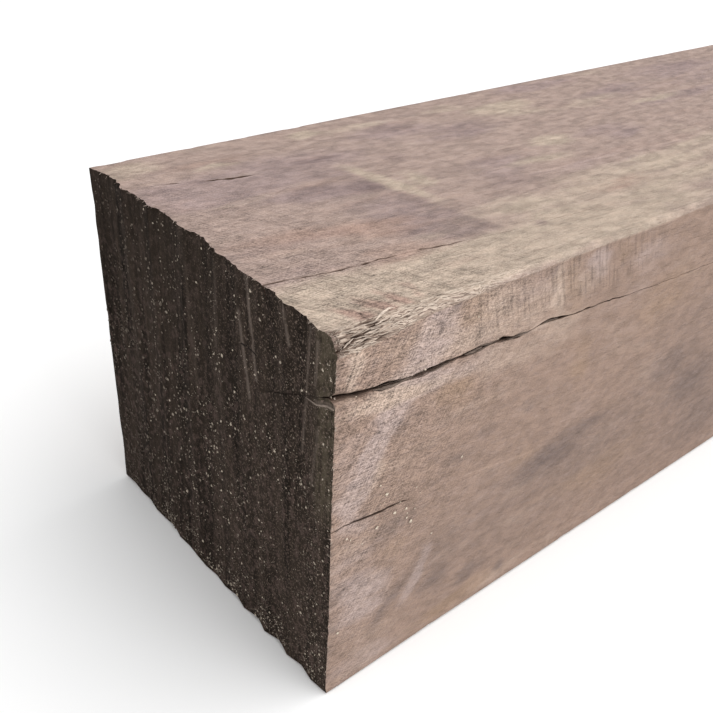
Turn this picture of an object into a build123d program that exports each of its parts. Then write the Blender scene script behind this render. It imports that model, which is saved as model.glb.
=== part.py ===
from build123d import *
import itertools
import math
import os

# Treated hardwood post: one sawn length of square section, docked across both ends.
#
# Frame: +X along the length, from the rough-docked end (-X) to the plain end (+X),
# -Y the face with the long drying check, +Z up. The post lies on its underside, and
# the origin is at the middle of that underside. Millimetres.

# Stock size
WIDTH = 100.0  # across the section, along Y
HEIGHT = 100.0  # depth of the section, along Z
LENGTH = 1800.0  # along X
ARRIS_RADIUS = 1.5  # wear along the four long edges

# Rough-docked end: the blade left scallops side by side that lean off the vertical
# and fade as the cut goes down
SCALLOP_SHARES = (6, 11, 10, 7, 9, 15, 14, 12, 16)  # relative widths, from the -Y face
SCALLOP_RADIUS = 22.0  # of the blade's marks at the top of the cut
SCALLOP_FADE = 0.35  # depth that a scallop keeps at the underside, as a share
KERF_LEAN = 2.0  # degrees, the tops lean towards +Y

# Broken corner: the top arris of the -Y face, worn away where it meets the docked end
WEAR_ACROSS_TOP = 5.0
WEAR_DOWN_FACE = 4.5
WEAR_BULGE = 1.0  # how far the worn surface stands out from the straight chord
WEAR_RUN = 30.0  # along the arris

# Drying checks: splits that follow the grain and close to a hairline as they run in.
# A drift is the slope of the split across its face, in millimetres per millimetre of run.
MAIN_CHECK_BELOW_TOP = 13.2
MAIN_CHECK_RUN = 150.0
MAIN_CHECK_MOUTH = 1.8
MAIN_CHECK_DEPTH = 24.0
MAIN_CHECK_DRIFT = -0.067
MAIN_CHECK_SWAY = 0.5  # sideways wander about its own line
MAIN_CHECK_SWAY_LENGTH = 130.0

LOWER_CHECK_BELOW_TOP = 45.2
LOWER_CHECK_RUN = 24.0
LOWER_CHECK_MOUTH = 1.0
LOWER_CHECK_DEPTH = 7.0
LOWER_CHECK_DRIFT = -0.155

TOP_CHECK_FROM_ARRIS = 24.5
TOP_CHECK_RUN = 115.0
TOP_CHECK_MOUTH = 0.9
TOP_CHECK_DEPTH = 9.0
TOP_CHECK_DRIFT = -0.125

SHORT_CHECK_FROM_FAR_ARRIS = 17.0
SHORT_CHECK_START = 9.0  # from the docked end, which this one doesn't reach
SHORT_CHECK_RUN = 23.0
SHORT_CHECK_MOUTH = 0.9
SHORT_CHECK_DEPTH = 4.0
SHORT_CHECK_DRIFT = -0.26

CHECK_SLANT = 27.0  # degrees, how far a split leans off square as it goes into the face
CHECK_NECK_DEPTH = 0.42  # share of the depth at which the mouth has narrowed to a hairline
CHECK_NECK_WIDTH = 0.16  # width there, as a share of the mouth
CHECK_CLOSED = 0.04  # share of its mouth and depth that a split keeps at a closed tip
CHECK_STATIONS = 13  # sections along each split

CLEAR = 5.0  # how far a cutter stands outside the stock

END_X = -LENGTH / 2  # the rough-docked end
NEAR_Y = -WIDTH / 2  # the face with the long check
# Face frames: X runs in from the docked end, Y across the face from the worn arris, Z out of it
TOP_FACE = Plane(origin=(END_X, NEAR_Y, HEIGHT), x_dir=(1, 0, 0), z_dir=(0, 0, 1))
NEAR_FACE = Plane(origin=(END_X, NEAR_Y, HEIGHT), x_dir=(1, 0, 0), z_dir=(0, -1, 0))


def section_plane(x):
    """A plane square to the length, with its own X along +Y and its own Y along +Z."""
    return Plane(origin=(x, 0, 0), x_dir=(0, 1, 0), z_dir=(1, 0, 0))


def sawn_blank():
    """The square section with its worn arrises, run out to the stock length."""
    section = Pos(0, HEIGHT / 2) * RectangleRounded(WIDTH, HEIGHT, ARRIS_RADIUS)
    return extrude(section_plane(0) * section, LENGTH / 2, both=True)


def scallop_rims():
    """Places of the scallops' rims across the cut, from before the near face to past the far one."""
    widths = [WIDTH * share / sum(SCALLOP_SHARES) for share in SCALLOP_SHARES]
    shift = HEIGHT * math.tan(math.radians(KERF_LEAN)) + CLEAR
    rims = [NEAR_Y - widths[-1], NEAR_Y]
    pattern = itertools.cycle(widths)
    while rims[-1] < WIDTH / 2 + shift:
        rims.append(rims[-1] + next(pattern))
    return rims


def kerf_profile(rims, height, depth_share):
    """The scalloped edge of the cut at one height, closed off outside the stock."""
    shift = (height - HEIGHT) * math.tan(math.radians(KERF_LEAN))
    edges = []
    for low, high in zip(rims, rims[1:]):
        half = (high - low) / 2
        depth = depth_share * (SCALLOP_RADIUS - math.sqrt(SCALLOP_RADIUS**2 - half**2))
        middle = (END_X + depth, low + half)
        edges.append(ThreePointArc((END_X, low), middle, (END_X, high)))
    outside = END_X - CLEAR
    edges.append(Polyline((END_X, rims[-1]), (outside, rims[-1]), (outside, rims[0]), (END_X, rims[0])))
    return Pos(0, shift, height) * make_face(Curve() + edges)


def docked_end_cutter():
    """What the saw took off the rough end: a row of scallops, drawn down along the leaning kerf."""
    rims = scallop_rims()
    fade = (1 - SCALLOP_FADE) / HEIGHT
    levels = (-CLEAR, HEIGHT + CLEAR)
    profiles = [kerf_profile(rims, z, SCALLOP_FADE + fade * z) for z in levels]
    return loft(profiles, ruled=True)


def broken_corner_cutter():
    """The worn corner, widest at the docked end and dying out along the arris."""
    on_top = Vector(NEAR_Y + WEAR_ACROSS_TOP, HEIGHT)
    on_face = Vector(NEAR_Y, HEIGHT - WEAR_DOWN_FACE)
    outward = Vector(-WEAR_DOWN_FACE, WEAR_ACROSS_TOP).normalized()
    bulge = (on_top + on_face) / 2 + outward * WEAR_BULGE
    worn = ThreePointArc(on_top, bulge, on_face)
    outside = Polyline(
        on_face,
        (NEAR_Y - CLEAR, on_face.Y),
        (NEAR_Y - CLEAR, HEIGHT + CLEAR),
        (on_top.X, HEIGHT + CLEAR),
        on_top,
    )
    section = section_plane(END_X) * make_face(Curve() + [worn, outside])
    return loft([section, Vertex(END_X + WEAR_RUN, NEAR_Y, HEIGHT)], ruled=True)


def check_section(x, y, mouth, depth):
    """A split's section: a mouth that narrows to a neck, then a hairline down to its root."""
    lean = math.tan(math.radians(CHECK_SLANT))
    half = mouth / 2
    neck = depth * CHECK_NECK_DEPTH
    neck_half = half * CHECK_NECK_WIDTH
    outline = Polygon(
        (y - half, 0),
        (y - lean * neck - neck_half, -neck),
        (y - lean * depth, -depth),
        (y - lean * neck + neck_half, -neck),
        (y + half, 0),
        (y + half, CLEAR),
        (y - half, CLEAR),
        align=None,
    )
    return section_plane(x) * outline


def check_cutter(face, start, run, across, drift, mouth, depth, sway=0.0, sway_length=1.0):
    """A split as a loft of sections along one face.

    One that starts at the docked end is widest there, and one that starts further in
    closes at both tips.
    """
    first = start if start > 0 else -CLEAR
    sections = []
    for step in range(CHECK_STATIONS):
        x = first + (start + run - first) * step / (CHECK_STATIONS - 1)
        along = (x - start) / run
        opening = math.sin(math.pi * along) if start > 0 else 1 - along
        y = across + drift * (x - start) - sway * math.sin(2 * math.pi * x / sway_length)
        mouth_here = mouth * max(opening**2, CHECK_CLOSED)
        depth_here = depth * max(opening, CHECK_CLOSED)
        sections.append(check_section(x, y, mouth_here, depth_here))
    return face.location * loft(sections, ruled=True)


def drying_checks():
    """The splits: a long one and a short one in the near face, and the same in the top."""
    return (
        check_cutter(
            NEAR_FACE,
            0,
            MAIN_CHECK_RUN,
            -MAIN_CHECK_BELOW_TOP,
            MAIN_CHECK_DRIFT,
            MAIN_CHECK_MOUTH,
            MAIN_CHECK_DEPTH,
            MAIN_CHECK_SWAY,
            MAIN_CHECK_SWAY_LENGTH,
        ),
        check_cutter(
            NEAR_FACE,
            0,
            LOWER_CHECK_RUN,
            -LOWER_CHECK_BELOW_TOP,
            LOWER_CHECK_DRIFT,
            LOWER_CHECK_MOUTH,
            LOWER_CHECK_DEPTH,
        ),
        check_cutter(
            TOP_FACE,
            0,
            TOP_CHECK_RUN,
            TOP_CHECK_FROM_ARRIS,
            TOP_CHECK_DRIFT,
            TOP_CHECK_MOUTH,
            TOP_CHECK_DEPTH,
        ),
        check_cutter(
            TOP_FACE,
            SHORT_CHECK_START,
            SHORT_CHECK_RUN,
            WIDTH - SHORT_CHECK_FROM_FAR_ARRIS,
            SHORT_CHECK_DRIFT,
            SHORT_CHECK_MOUTH,
            SHORT_CHECK_DEPTH,
        ),
    )


def post():
    """The whole post, as one solid."""
    timber = sawn_blank() - docked_end_cutter() - broken_corner_cutter()
    for split in drying_checks():
        timber -= split
    return timber


os.makedirs("parts", exist_ok=True)
timber = post()
export_step(timber, "parts/post.step")
print("post", timber.bounding_box().size, "solids", len(timber.solids()), "faces", len(timber.faces()))
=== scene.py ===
"""Looks of a treated hardwood post: sawn timber with its grain, stains, checks, splinters and sawdust.

Shapes are worked out in millimetres in the post's own frame, and written to meshes in metres:
x runs in from the rough-docked end, y across from the near face (-) to the back (+), z up from
the underside. A place on the top or on the near face is given as (x, a), where a is the distance
from the arris that the two faces share.
"""

import math
from dataclasses import dataclass
from functools import partialmethod
from itertools import product

import bpy
import numpy as np
from mathutils import Matrix, Vector
from mathutils.geometry import delaunay_2d_cdt


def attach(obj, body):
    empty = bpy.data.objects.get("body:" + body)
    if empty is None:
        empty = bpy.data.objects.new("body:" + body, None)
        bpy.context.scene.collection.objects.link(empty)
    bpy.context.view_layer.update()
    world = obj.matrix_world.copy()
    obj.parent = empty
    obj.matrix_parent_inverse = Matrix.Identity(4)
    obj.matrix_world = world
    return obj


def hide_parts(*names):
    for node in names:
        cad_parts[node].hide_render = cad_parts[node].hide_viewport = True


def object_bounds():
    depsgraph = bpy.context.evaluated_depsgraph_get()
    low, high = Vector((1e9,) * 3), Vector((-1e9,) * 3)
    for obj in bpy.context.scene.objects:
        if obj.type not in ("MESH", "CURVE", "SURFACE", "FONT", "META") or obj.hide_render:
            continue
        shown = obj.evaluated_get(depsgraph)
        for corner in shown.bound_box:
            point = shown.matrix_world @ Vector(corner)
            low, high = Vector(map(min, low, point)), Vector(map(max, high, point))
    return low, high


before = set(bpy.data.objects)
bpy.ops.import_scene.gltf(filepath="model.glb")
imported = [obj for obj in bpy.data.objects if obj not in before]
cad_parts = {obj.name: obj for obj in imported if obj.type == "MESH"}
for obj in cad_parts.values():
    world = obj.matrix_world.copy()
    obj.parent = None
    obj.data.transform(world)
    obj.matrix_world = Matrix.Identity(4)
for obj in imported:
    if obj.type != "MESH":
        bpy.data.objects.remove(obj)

CAD_LOW, CAD_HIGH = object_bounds()
MM = 0.001
LENGTH, WIDTH, HEIGHT = (CAD_HIGH - CAD_LOW) / MM
END_X = CAD_LOW.x / MM
HALF = WIDTH / 2
RANDOM_SEED = 7

# Docked end
SCALLOP_SHARES = (6, 11, 10, 7, 9, 15, 14, 12, 16)
SCALLOP_RADIUS = 22
SCALLOP_FADE = 0.35
KERF_LEAN = math.tan(math.radians(2))
END_REACH = 16  # how far in the end's unevenness is felt by the rings behind it
CAP_SPACING = 0.8
FAR_CAP_SPACING = 4

# Arrises
ARRIS, FAR_ARRIS, LOW_ARRIS = 1.3, 0.5, 0.7  # by the worn corner, at the back of the top, and underneath
WEAR_RUN = 30
SPLINTER_RUN = 55
QUARTER = math.pi / 2

# Mesh density
FINE_STEP, FINE_RUN, STEP_GROWTH = 0.9, 75, 0.035  # rows along the post
WORN_COLUMNS, ARC_COLUMNS, PLAIN_COLUMNS = 40, 4, 20
TOP_COLUMNS, NEAR_COLUMNS = (34, 66, 20), (18, 36, 44)  # before, between and after the two splits

TOP, NEAR, PLAIN, DOCKED, FAR_END = range(5)  # material slots of the post

# Loose pieces
STRAND_COUNT, STRAND_ROWS = 48, 8  # torn up along the worn arris
SLIVER_COUNT = 30  # in the long split
TOP_WHISKERS, NEAR_WHISKERS, CORNER_WHISKERS = 60, 90, 50  # fibres at the docked end's rims
DUST_TRIES, FACE_DUST = 9000, 40  # flecks tried on the docked end, and flecks on the near face


# Noise

def hashed(ix, iy, iz, seed):
    """A steady pseudo-random number from 0 to 1 for each lattice point."""
    mask = 0xFFFFFFFF
    h = (ix * 374761393 + iy * 668265263 + iz * 1440662683 + seed * 1274126177) & mask
    h = ((h ^ (h >> 13)) * 1103515245) & mask
    h = ((h ^ (h >> 15)) * 668265263) & mask
    return ((h ^ (h >> 16)) & 0xFFFF) / 65535


def noise(x, y, z=0, seed=0):
    """Smooth value noise from 0 to 1."""
    x, y, z = np.broadcast_arrays(*(np.asarray(v, float) for v in (x, y, z)))
    base = [np.floor(v).astype(np.int64) for v in (x, y, z)]
    part = [v - b for v, b in zip((x, y, z), base)]
    part = [p * p * (3 - 2 * p) for p in part]
    total = 0
    for dx, dy, dz in product((0, 1), repeat=3):
        weight = (part[0] if dx else 1 - part[0]) * (part[1] if dy else 1 - part[1])
        weight = weight * (part[2] if dz else 1 - part[2])
        total = total + weight * hashed(base[0] + dx, base[1] + dy, base[2] + dz, seed)
    return total


def rough(x, y, z=0, seed=0, octaves=3):
    """Several octaves of noise, from 0 to 1."""
    total, size, sum_size = 0, 1, 0
    for octave in range(octaves):
        total = total + size * noise(x * 2**octave, y * 2**octave, z * 2**octave, seed + octave)
        sum_size += size
        size *= 0.5
    return total / sum_size


def smooth(value, low, high):
    t = np.clip((value - low) / (high - low), 0, 1)
    return t * t * (3 - 2 * t)


# Shape of the post

@dataclass
class Check:
    """A drying split in one face: where it runs, how wide it opens and how deep it goes."""

    line: tuple  # places (x, a) that its middle passes, each with the width there
    depth: float
    lean: float  # sideways shift for each millimetre of depth
    worn: float = 0.0  # how much flatter its outer wall lies at the docked end, from 0 to 1
    black: float = 0.5  # depth at which no light is left
    seed: int = 0

    LEVELS = (0, 0.02, 0.05, 0.1, 0.2, 0.42, 1)  # depth of the columns down a wall, as a share
    HAIRLINE = 0.06
    BAND = 0.7  # half width that the closed split's columns spread over
    MOUTH = 1.4  # depth over which the mouth narrows
    GAP = 0.15  # share of the width that runs on below the mouth
    WORN_RUN = 40

    def along(self, s):
        """Middle and width of the split at distances from the docked end."""
        places, across, widths = zip(*self.line)
        ragged = 0.3 * (noise(s / 6, self.seed) - 0.5) + 0.4 * (noise(s / 1.6, self.seed, 5) - 0.5)
        uneven = 0.55 + 0.9 * noise(s / 1.9, self.seed, 9)
        beyond = np.maximum(s - places[-1], places[0] - s) / 12
        width = np.interp(s, places, widths) * uneven + self.HAIRLINE
        middle = np.interp(s, places, across) + ragged * smooth(s, 0, 6)
        return middle, width + 2 * self.BAND * smooth(beyond, 0, 1)

    def depths(self, s):
        start, end = self.line[0][0], self.line[-1][0]
        share = np.clip((s - start) / (end - start), 0, 1)
        return self.depth * (np.sin(np.pi * share) if start > 0 else 1 - share)

    def walls(self, s):
        """Place across, depth and painted shade of the columns down the inner wall and up the outer one."""
        (middle, width), depth = self.along(s), self.depths(s)
        outer_lean = self.lean * (1 - 0.7 * self.worn * np.exp(-s / self.WORN_RUN))
        open_share = 0.2 + 0.8 * smooth(width, 0.1, 0.45)
        inner, outer, deep = [], [], []
        for level in self.LEVELS:
            mouth = (1 - self.GAP) * np.exp(-depth * level / self.MOUTH)
            narrow = width / 2 * (mouth + self.GAP * (1 - level))
            beyond = middle + narrow + outer_lean * depth * level
            deep.append(depth * level)
            inner.append(middle - narrow + self.lean * depth * level)
            outer.append(np.maximum(beyond, inner[-1] + self.HAIRLINE))
        across, deep = (np.concatenate(wall, 1) for wall in (inner + outer[-2::-1], deep + deep[-2::-1]))
        return across, deep, deep / self.black * open_share


SLANT = math.tan(math.radians(27))
MAIN_LINE = (
    (0, 12.9, 2.8), (2, 13.1, 2.4), (4, 13.5, 2.2), (8, 14.2, 2), (13, 14.8, 1.9), (16, 15.3, 1.5),
    (19, 15.7, 0.9), (25, 15.5, 1.4), (31, 15.6, 1), (37, 15.7, 1.3), (41, 15.5, 1), (44, 15.5, 0.6),
    (46, 15.9, 1.6), (49, 16.5, 1.2), (52, 17, 0.7), (55, 16.7, 0.2), (58, 16.5, 0.2), (61, 16.4, 0.7),
    (65, 16.8, 0.8), (69, 17.5, 0.3), (76, 17.7, 0.4), (82, 18, 0.1), (88, 18.7, 0.4), (92, 19.1, 0.1),
    (108, 20.2, 0.1), (150, 22, 0),
)
LOWER_LINE = (
    (0, 47.2, 0.2), (4, 47.1, 0.2), (8, 47.9, 0.4), (12, 48.3, 0.6), (16, 48.6, 0.5), (20, 48.8, 0.4),
    (23, 49.6, 0.1),
)
TOP_LINE = (
    (0, 25, 0.4), (5, 24.4, 0.5), (10, 23, 0.4), (14, 22.3, 0.5), (16.5, 21.8, 0.6), (20, 21.6, 0.5),
    (21.5, 21.4, 0.1), (23.4, 21.2, 0.8), (25, 21.1, 0.2), (27, 21.2, 0.5), (30.5, 20.6, 0.6),
    (32, 20.4, 0.1), (37, 20.1, 0.2), (38.2, 19.8, 1), (39.5, 19.3, 0.3), (42, 18.8, 0.6),
    (45, 18.2, 0.8), (48, 18.1, 0.6), (50, 17.6, 0.1), (62, 15.7, 0.1), (66, 15.4, 0), (72, 14.8, 0.15),
    (86, 13.8, 0.1), (115, 9.8, 0),
)
SHORT_LINE = (
    (9, 81.4, 0.1), (12, 80.2, 0.6), (14, 79.6, 0.1), (19, 78, 0.2), (21, 77.4, 1), (23, 76.8, 0.6),
    (25.3, 76.1, 1.3), (28, 75.5, 1), (32, 74.8, 0),
)
MAIN_CHECK = Check(MAIN_LINE, 24, SLANT, worn=0.6, black=3, seed=3)
LOWER_CHECK = Check(LOWER_LINE, 7, SLANT, black=0.8, seed=5)
TOP_CHECK = Check(TOP_LINE, 9, -SLANT, black=0.25, seed=8)
SHORT_CHECK = Check(SHORT_LINE, 4, -SLANT, black=0.15, seed=11)


def stations():
    """Distances from the docked end, close together near it and wider apart along the post."""
    places = [0]
    while places[-1] < LENGTH:
        places.append(places[-1] + FINE_STEP + STEP_GROWTH * max(0, places[-1] - FINE_RUN))
    return np.array(places) * LENGTH / places[-1]


def even(low, high, count):
    """Columns evenly between two lines, which aren't among them."""
    share = np.arange(1, count + 1) / (count + 1)
    return low + (high - low) * share


def face_columns(s, low, high, checks, counts):
    """Place across, depth and painted shade of one face's columns, from the shared arris outward."""
    across, deep, dark = [], [], []
    for check, count in zip(checks, counts):
        places, depth, darkness = check.walls(s)
        across += [even(low, places[:, :1], count), places]
        deep += [np.zeros((len(s), count)), depth]
        dark += [np.zeros((len(s), count)), darkness]
        low = places[:, -1:]
    last = even(low, np.full_like(low, high), counts[-1])
    blank = np.zeros_like(last)
    return (np.concatenate(parts, 1) for parts in (across + [last], deep + [blank], dark + [blank]))


def sawn_relief(x, a, seed):
    """How far a sawn face lies below its plane: gentle waves and raised grain."""
    waves = 0.3 * rough(x / 70, a / 22, seed=seed)
    grain = 0.16 * rough(x / 12, a / 1.1, seed=seed + 20, octaves=2)
    return waves + grain


def scallop_depth(y, z):
    """How far the saw's scallops cut into the docked end."""
    widths = WIDTH * np.array(SCALLOP_SHARES) / sum(SCALLOP_SHARES)
    rims = -HALF - widths[-1] + np.concatenate([[0], np.cumsum(np.tile(np.roll(widths, 1), 2))])
    along = y + (HEIGHT - z) * KERF_LEAN
    cell = np.clip(np.searchsorted(rims, along) - 1, 0, len(rims) - 2)
    half = (rims[cell + 1] - rims[cell]) / 2
    off = along - rims[cell] - half
    cut = np.sqrt(SCALLOP_RADIUS**2 - off**2) - np.sqrt(SCALLOP_RADIUS**2 - half**2)
    return cut * (SCALLOP_FADE + (1 - SCALLOP_FADE) * z / HEIGHT)


def docked_depth(y, z):
    """Depth of the docked end below its plane: untrue, scalloped, ridged, pitted and ragged at its rims."""
    low = 1 - z / HEIGHT
    untrue = -0.9 + 0.35 * low + 1.4 * low * (0.5 - y / WIDTH) ** 2
    hollowed = (1 - low) * np.clip(1 - (y / 42) ** 2, 0, 1)
    along = y + (HEIGHT - z) * KERF_LEAN
    ridges = 0.22 * rough(along / 2, z / 60, seed=31) + 0.08 * noise(along / 0.6, z / 25, seed=34)
    pits = 0.3 * smooth(rough(y / 1.6, z / 2.2, seed=37), 0.62, 0.85)
    inside = smooth(HALF - np.abs(y), 0, 5)
    teeth = 0.7 * smooth(rough(y / 1.1, z / 1.1, seed=41), 0.4, 0.8) * np.exp((z - HEIGHT) / 0.9)
    teeth = teeth + (1.2 * smooth(rough(y / 3, z / 3, seed=44), 0.45, 0.75) - 0.6) * np.exp(-z / 1.2)
    rim = 0.5 * (rough(y / 2, z / 2, seed=47) - 0.5) * np.exp(-(y + HALF) / 0.9)
    return untrue + hollowed + scallop_depth(y, z) + ridges + pits + teeth * inside + rim


def worn_widths(s):
    """How far the worn arris reaches across the top, and down the near face."""
    broken = np.exp(-s / 1.2)
    top = ARRIS + 1.2 * smooth(s, 60, 25) + 0.5 * np.exp(-((s / 8) ** 2)) + 0.7 * broken
    near = ARRIS + 2.2 * smooth(s, 26, 6) + 0.5 * broken
    return top + 0.5 * noise(s / 9, 1, seed=51), near + 0.4 * noise(s / 9, 2, seed=52)


def worn_place(s, turn, lift=0):
    """y and z on the worn arris: turn runs from 0 at the top to a quarter turn at the near face."""
    top, near = worn_widths(s)
    y = -HALF + top * (1 - np.sin(turn)) - lift * np.sin(turn)
    z = HEIGHT - near * (1 - np.cos(turn)) + lift * np.cos(turn)
    return y, z


PIT_COUNT = 32  # gaps between torn strands
PLACED_PITS = ((8.4, 0.1, 0.5), (2.7, 0.62, 0.8), (4.6, 0.5, 0.9))  # x, share of the turn, half length


def worn_pits():
    """Gaps between torn strands, thicker towards the docked end."""
    rng = np.random.default_rng(RANDOM_SEED + 2)
    pits = list(PLACED_PITS)
    for _ in range(PIT_COUNT):
        pits.append((0.8 + 12 * rng.random() ** 1.5, rng.uniform(0.06, 0.94), rng.uniform(0.6, 1.3)))
    return pits


def worn_arris(s):
    """The arris shared by the top and the near face: rounded, with torn grooves near the end."""
    turn = np.linspace(1, 0, WORN_COLUMNS)[None, :] * QUARTER
    torn = np.clip(1 - s / SPLINTER_RUN, 0, 1) ** 0.6
    ridge = np.abs(2 * noise(s / 26, turn * 3.2, seed=53) - 1)
    groove = np.exp(-((ridge / 0.14) ** 2))
    chips = smooth(noise(s / 4, turn * 2.6, seed=56), 0.66, 0.82)
    fresh = np.clip(1 - s / WEAR_RUN, 0, 1) ** 0.5
    deep = fresh * (0.2 * groove + 0.3 * chips)
    shadow = fresh * np.clip(0.2 * groove + 0.2 * chips, 0, 0.8)
    for pit_s, pit_turn, half_length in worn_pits():
        pit = np.exp(-(((s - pit_s) / half_length) ** 2) - ((turn / QUARTER - pit_turn) / 0.03) ** 2)
        deep = deep + 0.45 * pit
        shadow = shadow + 0.85 * pit
    y, z = worn_place(s, turn, -deep)
    return y, z, shadow, np.broadcast_to(torn, y.shape)


def plain_arc(s, y_sign, z_top, order, radius, seed):
    """A plain arris of the blank with faint nicks. order is 1 or -1 along the ring."""
    turn = (np.arange(ARC_COLUMNS) + 0.5) / ARC_COLUMNS * QUARTER
    turn = turn[None, :] if order > 0 else turn[None, ::-1]
    reach = radius * (0.3 + 0.7 * smooth(s, 0, 40)) + 0.5 * smooth(rough(s / 7, seed, seed=seed), 0.6, 0.85)
    y = y_sign * (HALF - reach * (1 - np.sin(turn)))
    depth = reach * (1 - np.cos(turn))
    return y, HEIGHT - depth if z_top else depth


def rings():
    """Every ring of the post's skin: x, y, z, painted shade and torn arrays, and each column's material; the
    shade is painted down the splits and in the worn arris's pits.
    """
    s = stations()[:, None]
    parts = []

    def add(y, z, slot, hollow_shade=0, torn=0):
        y, z, hollow_shade, torn = np.broadcast_arrays(y, z, hollow_shade, torn)
        parts.append((y, z, hollow_shade, torn, np.full(y.shape[1], slot)))

    worn_y, worn_z, shadow, torn = worn_arris(s)
    top_width, near_width = worn_widths(s)
    top_a, top_d, top_dark = face_columns(
        s, top_width, WIDTH - FAR_ARRIS, (TOP_CHECK, SHORT_CHECK), TOP_COLUMNS
    )
    add(top_a - HALF, HEIGHT - top_d - sawn_relief(s, top_a, 61), TOP, top_dark)
    add(*plain_arc(s, 1, True, 1, FAR_ARRIS, 71), TOP)
    plain_a = even(LOW_ARRIS, WIDTH - LOW_ARRIS, PLAIN_COLUMNS)[None, :] + 0 * s
    add(HALF - sawn_relief(s, plain_a, 63), HEIGHT - plain_a, PLAIN)
    add(*plain_arc(s, 1, False, -1, LOW_ARRIS, 73), PLAIN)
    add(HALF - plain_a, 0.4 * sawn_relief(s, plain_a, 65), PLAIN)
    add(*plain_arc(s, -1, False, 1, LOW_ARRIS, 75), NEAR)
    near_a, near_d, near_dark = face_columns(
        s, near_width, HEIGHT - LOW_ARRIS, (MAIN_CHECK, LOWER_CHECK), NEAR_COLUMNS
    )
    near_d = near_d + sawn_relief(s, near_a, 67)
    add((near_d - HALF)[:, ::-1], (HEIGHT - near_a)[:, ::-1], NEAR, near_dark[:, ::-1])
    add(worn_y, worn_z, TOP, shadow, torn)

    y, z, hollow_shade, torn = (np.concatenate([p[k] for p in parts], 1) for k in range(4))
    slots = np.concatenate([p[4] for p in parts])
    uneven = docked_depth(y[:1], z[:1])
    x = s + uneven * np.clip(1 - s / END_REACH, 0, 1) ** 2
    return x, y, z, hollow_shade, torn, slots


def cap(ring_y, ring_z, spacing, seed):
    """Points inside a closed ring and the triangles that fill it, and the ring point each one came from."""
    rng = np.random.default_rng(seed)
    grid = (np.arange(int(WIDTH / spacing)) + 0.5) * spacing
    gy, gz = np.meshgrid(grid - HALF, grid, indexing="ij")
    gy[:, ::2] += spacing / 2
    gy = gy + rng.uniform(-0.25, 0.25, gy.shape) * spacing
    gz = gz + rng.uniform(-0.25, 0.25, gz.shape) * spacing
    margin = spacing * 0.7 + ARRIS * 0.3
    keep = (np.abs(gy) < HALF - margin) & (gz > margin) & (gz < HEIGHT - margin)
    points = [Vector((y, z)) for y, z in zip(ring_y, ring_z)]
    points += [Vector((y, z)) for y, z in zip(gy[keep], gz[keep])]
    ring = list(range(len(ring_y)))
    made, _, faces, origin, _, _ = delaunay_2d_cdt(points, [], [ring], 1, 1e-6)
    return np.array([tuple(p) for p in made]), faces, [o[0] if o else -1 for o in origin]


def add_cap(points, faces, slots, ring, ring_y, ring_z, spacing, slot, depth, outward):
    """Closes the skin at one end. depth gives x for places (y, z), outward is -1 or 1 along x."""
    flat, triangles, origin = cap(ring_y, ring_z, spacing, RANDOM_SEED + slot)
    number = []
    for place, source in zip(flat, origin):
        if 0 <= source < len(ring):
            number.append(ring[source])
        else:
            number.append(len(points))
            points.append((depth(place[0], place[1]), place[0], place[1]))
    for triangle in triangles:
        corners = [number[i] for i in triangle]
        (ay, az), (by, bz), (cy, cz) = (flat[i] for i in triangle)
        anticlockwise = (by - ay) * (cz - az) - (bz - az) * (cy - ay) > 0
        faces.append(corners if anticlockwise == (outward > 0) else corners[::-1])
        slots.append(slot)


def ring_faces(rows, count):
    """Four-sided faces between closed rings of points, one ring after the other."""
    number = np.arange(rows * count).reshape(rows, count)
    beside = np.roll(number, -1, 1)
    return np.stack([number[:-1], number[1:], beside[1:], beside[:-1]], 2).reshape(-1, 4).tolist()


def write_mesh(name, points, faces, materials, smooth_angle, slots=None):
    """A mesh object from points in millimetres of the post's own frame."""
    places = (np.array(points, float) + (END_X, 0, 0)) * MM
    mesh = bpy.data.meshes.new(name)
    mesh.from_pydata(places.tolist(), [], faces)
    for material in materials:
        mesh.materials.append(material)
    if slots is not None:
        mesh.polygons.foreach_set("material_index", np.array(slots, np.int32))
    mesh.shade_smooth()
    mesh.set_sharp_from_angle(angle=math.radians(smooth_angle))
    piece = bpy.data.objects.new(name, mesh)
    bpy.context.scene.collection.objects.link(piece)
    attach(piece, "root")
    return piece


def put_attribute(mesh, name, values):
    """A number, or a colour of four numbers, for each point of a mesh."""
    values = np.asarray(values, np.float32)
    kind, field = ("FLOAT", "value") if values.ndim == 1 else ("FLOAT_COLOR", "color")
    mesh.attributes.new(name, kind, "POINT").data.foreach_set(field, values.ravel())
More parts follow.
